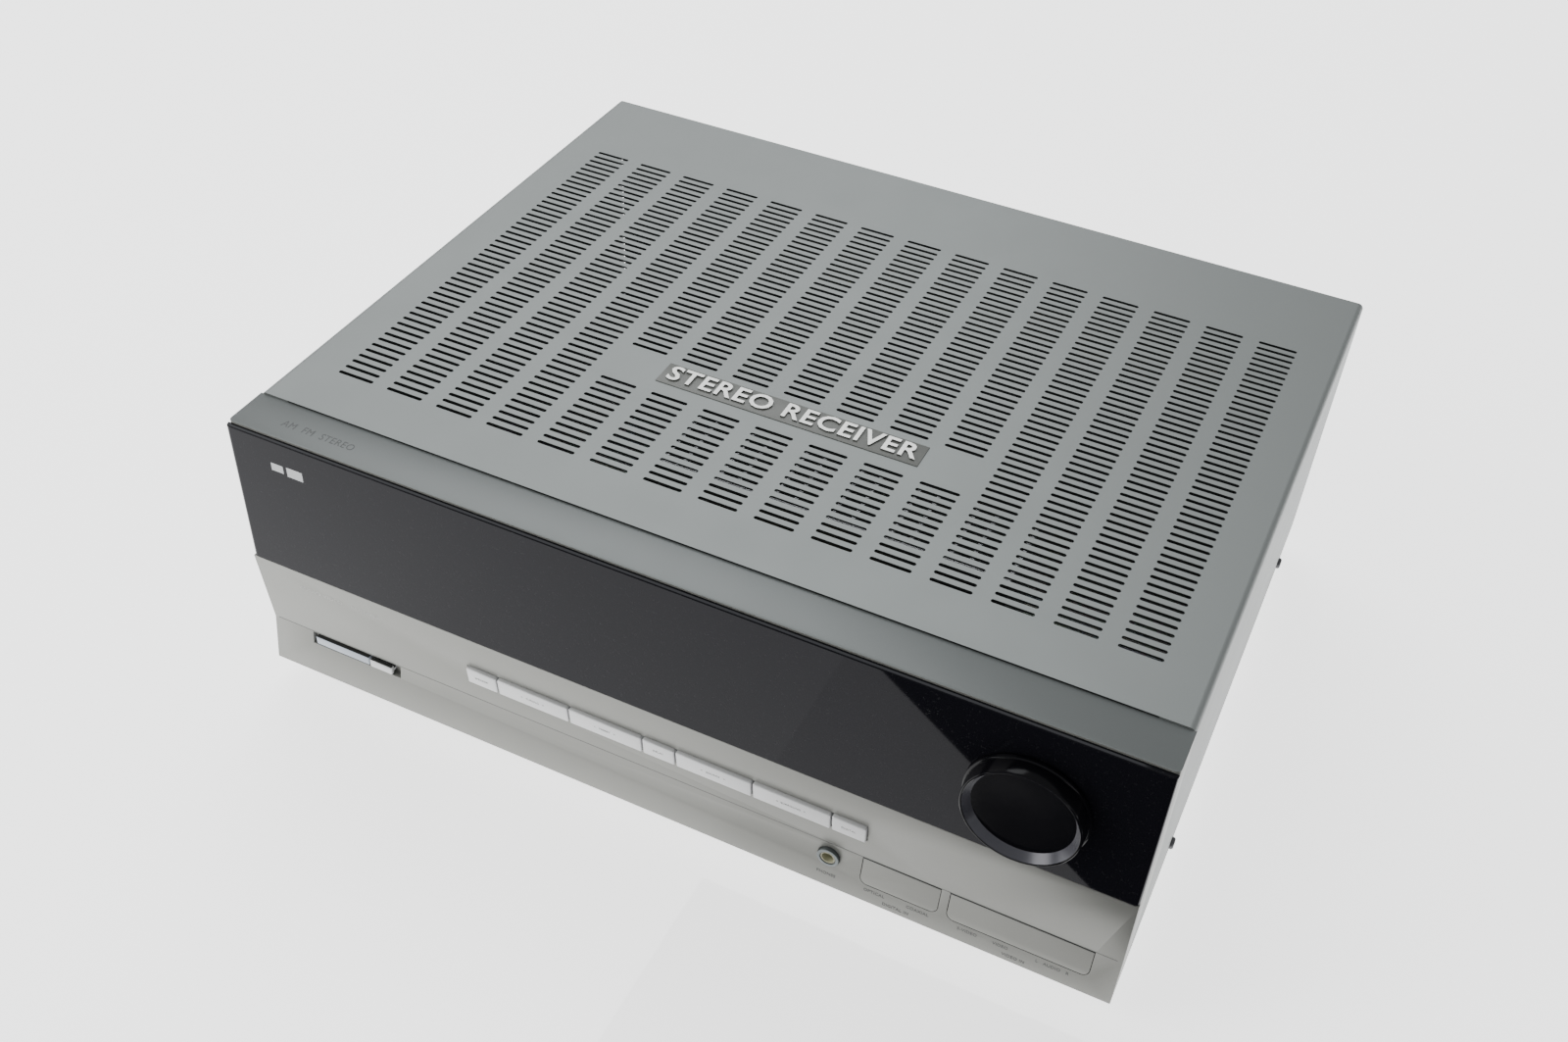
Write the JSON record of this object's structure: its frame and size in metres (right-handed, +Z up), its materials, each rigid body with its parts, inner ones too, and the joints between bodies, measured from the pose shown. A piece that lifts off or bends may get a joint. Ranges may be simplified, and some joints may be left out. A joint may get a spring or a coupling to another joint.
{
  "type": "audio video receiver",
  "caption": "Audio-video receiver with a slotted steel cover, a black window over a silver facia, a turning volume knob, sprung buttons and two flap doors.",
  "frame": {"origin": "on the surface it stands on, under the middle of its overall box", "axes": "+X to the right seen from the front, +Y to the back, +Z up"},
  "size_m": [0.4436, 0.382, 0.1662],
  "materials": {
    "cover_paint": "satin",
    "zinc_steel": "satin",
    "rear_paint": "satin",
    "silver_paint": "satin",
    "window_black": "gloss",
    "badge_metal": "satin",
    "foot_plastic": "matte",
    "screw_steel": "satin",
    "tube_glass": "gloss",
    "circuit_board": "matte",
    "black_plastic": "matte",
    "encoder_metal": "satin",
    "nickel": "gloss",
    "light_lens": "gloss",
    "socket_dark": "satin",
    "ring_brass": "satin",
    "core_iron": "matte",
    "coil_tape": "matte",
    "sink_aluminium": "satin",
    "can_sleeve": "gloss",
    "antenna_parts": "matte",
    "inlet_plastic": "matte",
    "knob_black": "gloss",
    "button_silver": "satin",
    "cap_red": "gloss",
    "cap_black": "gloss"
  },
  "bodies": {
    "case": {"top_cover": "cover_paint", "chassis_base": "zinc_steel", "rear_panel": "rear_paint", "front_subpanel": "zinc_steel", "facia": "silver_paint", "display_window": "window_black", "name_badge": "badge_metal", "feet": "foot_plastic", "foot_screws": "screw_steel", "case_screws": "screw_steel", "display_tube": "tube_glass", "front_board": "circuit_board", "tact_switches": "black_plastic", "encoder_body": "encoder_metal", "encoder_nut": "nickel", "power_indicator_lens": "light_lens", "headphone_jack": "socket_dark", "headphone_nut": "ring_brass", "front_jack_board": "circuit_board", "front_av_jacks": "black_plastic", "front_digital_jacks": "black_plastic", "transformer_core": "core_iron", "transformer_coil": "coil_tape", "transformer_bolts": "screw_steel", "heat_sink": "sink_aluminium", "output_transistors": "black_plastic", "amplifier_board": "circuit_board", "filter_capacitors": "can_sleeve", "signal_board": "circuit_board", "tuner_module": "nickel", "rear_audio_jacks": "black_plastic", "rear_video_jacks": "black_plastic", "rear_digital_jacks": "black_plastic", "antenna_terminals": "antenna_parts", "speaker_terminal_block": "black_plastic", "speaker_posts": "nickel", "mains_inlet": "inlet_plastic", "rca_shells": "nickel"},
    "knob": {"volume_knob": "knob_black", "encoder_shaft": "nickel"},
    "standby_button": {"standby_button": "button_silver"},
    "speaker_button": {"speaker_button": "button_silver"},
    "tuning_button": {"tuning_button": "button_silver"},
    "preset_button": {"preset_button": "button_silver"},
    "delay_button": {"delay_button": "button_silver"},
    "source_button": {"source_button": "button_silver"},
    "surround_button": {"surround_button": "button_silver"},
    "digital_button": {"digital_button": "button_silver"},
    "front_left_minus_cap": {"front_left_minus_cap": "cap_black"},
    "front_left_plus_cap": {"front_left_plus_cap": "cap_red"},
    "front_right_minus_cap": {"front_right_minus_cap": "cap_black"},
    "front_right_plus_cap": {"front_right_plus_cap": "cap_red"},
    "centre_minus_cap": {"centre_minus_cap": "cap_black"},
    "centre_plus_cap": {"centre_plus_cap": "cap_red"},
    "surround_left_minus_cap": {"surround_left_minus_cap": "cap_black"},
    "surround_left_plus_cap": {"surround_left_plus_cap": "cap_red"},
    "surround_right_minus_cap": {"surround_right_minus_cap": "cap_black"},
    "surround_right_plus_cap": {"surround_right_plus_cap": "cap_red"},
    "digital_door": {"digital_input_door": "silver_paint"},
    "av_door": {"av_input_door": "silver_paint"}
  },
  "joints": [
    {"name": "volume_turn", "type": "hinge", "parent": "case", "child": "knob", "pos_m": [0.1675, -0.1815, 0.1197], "axis": [0, -1, 0], "continuous": true},
    {"name": "standby_press", "type": "slide", "parent": "case", "child": "standby_button", "axis": [0, 1, 0], "range_m": [0, 0.0008], "stiffness_N_per_m": 600},
    {"name": "speaker_press", "type": "slide", "parent": "case", "child": "speaker_button", "axis": [0, 1, 0], "range_m": [0, 0.0008], "stiffness_N_per_m": 600},
    {"name": "tuning_press", "type": "slide", "parent": "case", "child": "tuning_button", "axis": [0, 1, 0], "range_m": [0, 0.0008], "stiffness_N_per_m": 600},
    {"name": "preset_press", "type": "slide", "parent": "case", "child": "preset_button", "axis": [0, 1, 0], "range_m": [0, 0.0008], "stiffness_N_per_m": 600},
    {"name": "delay_press", "type": "slide", "parent": "case", "child": "delay_button", "axis": [0, 1, 0], "range_m": [0, 0.0008], "stiffness_N_per_m": 600},
    {"name": "source_press", "type": "slide", "parent": "case", "child": "source_button", "axis": [0, 1, 0], "range_m": [0, 0.0008], "stiffness_N_per_m": 600},
    {"name": "surround_press", "type": "slide", "parent": "case", "child": "surround_button", "axis": [0, 1, 0], "range_m": [0, 0.0008], "stiffness_N_per_m": 600},
    {"name": "digital_press", "type": "slide", "parent": "case", "child": "digital_button", "axis": [0, 1, 0], "range_m": [0, 0.0008], "stiffness_N_per_m": 600},
    {"name": "digital_door_hinge", "type": "hinge", "parent": "case", "child": "digital_door", "pos_m": [0.11955, -0.1755, 0.0376], "axis": [-1, 0, 0], "range_deg": [0, 85]},
    {"name": "av_door_hinge", "type": "hinge", "parent": "case", "child": "av_door", "pos_m": [0.17525, -0.1755, 0.0376], "axis": [-1, 0, 0], "range_deg": [0, 85]},
    {"name": "front_left_minus_turn", "type": "hinge", "parent": "case", "child": "front_left_minus_cap", "pos_m": [0.04, 0.1813, 0.052], "axis": [0, 1, 0], "continuous": true},
    {"name": "front_left_plus_turn", "type": "hinge", "parent": "case", "child": "front_left_plus_cap", "pos_m": [0.04, 0.1813, 0.077], "axis": [0, 1, 0], "continuous": true},
    {"name": "front_right_minus_turn", "type": "hinge", "parent": "case", "child": "front_right_minus_cap", "pos_m": [0.006, 0.1813, 0.052], "axis": [0, 1, 0], "continuous": true},
    {"name": "front_right_plus_turn", "type": "hinge", "parent": "case", "child": "front_right_plus_cap", "pos_m": [0.006, 0.1813, 0.077], "axis": [0, 1, 0], "continuous": true},
    {"name": "centre_minus_turn", "type": "hinge", "parent": "case", "child": "centre_minus_cap", "pos_m": [-0.028, 0.1813, 0.052], "axis": [0, 1, 0], "continuous": true},
    {"name": "centre_plus_turn", "type": "hinge", "parent": "case", "child": "centre_plus_cap", "pos_m": [-0.028, 0.1813, 0.077], "axis": [0, 1, 0], "continuous": true},
    {"name": "surround_left_minus_turn", "type": "hinge", "parent": "case", "child": "surround_left_minus_cap", "pos_m": [-0.062, 0.1813, 0.052], "axis": [0, 1, 0], "continuous": true},
    {"name": "surround_left_plus_turn", "type": "hinge", "parent": "case", "child": "surround_left_plus_cap", "pos_m": [-0.062, 0.1813, 0.077], "axis": [0, 1, 0], "continuous": true},
    {"name": "surround_right_minus_turn", "type": "hinge", "parent": "case", "child": "surround_right_minus_cap", "pos_m": [-0.096, 0.1813, 0.052], "axis": [0, 1, 0], "continuous": true},
    {"name": "surround_right_plus_turn", "type": "hinge", "parent": "case", "child": "surround_right_plus_cap", "pos_m": [-0.096, 0.1813, 0.077], "axis": [0, 1, 0], "continuous": true}
  ]
}
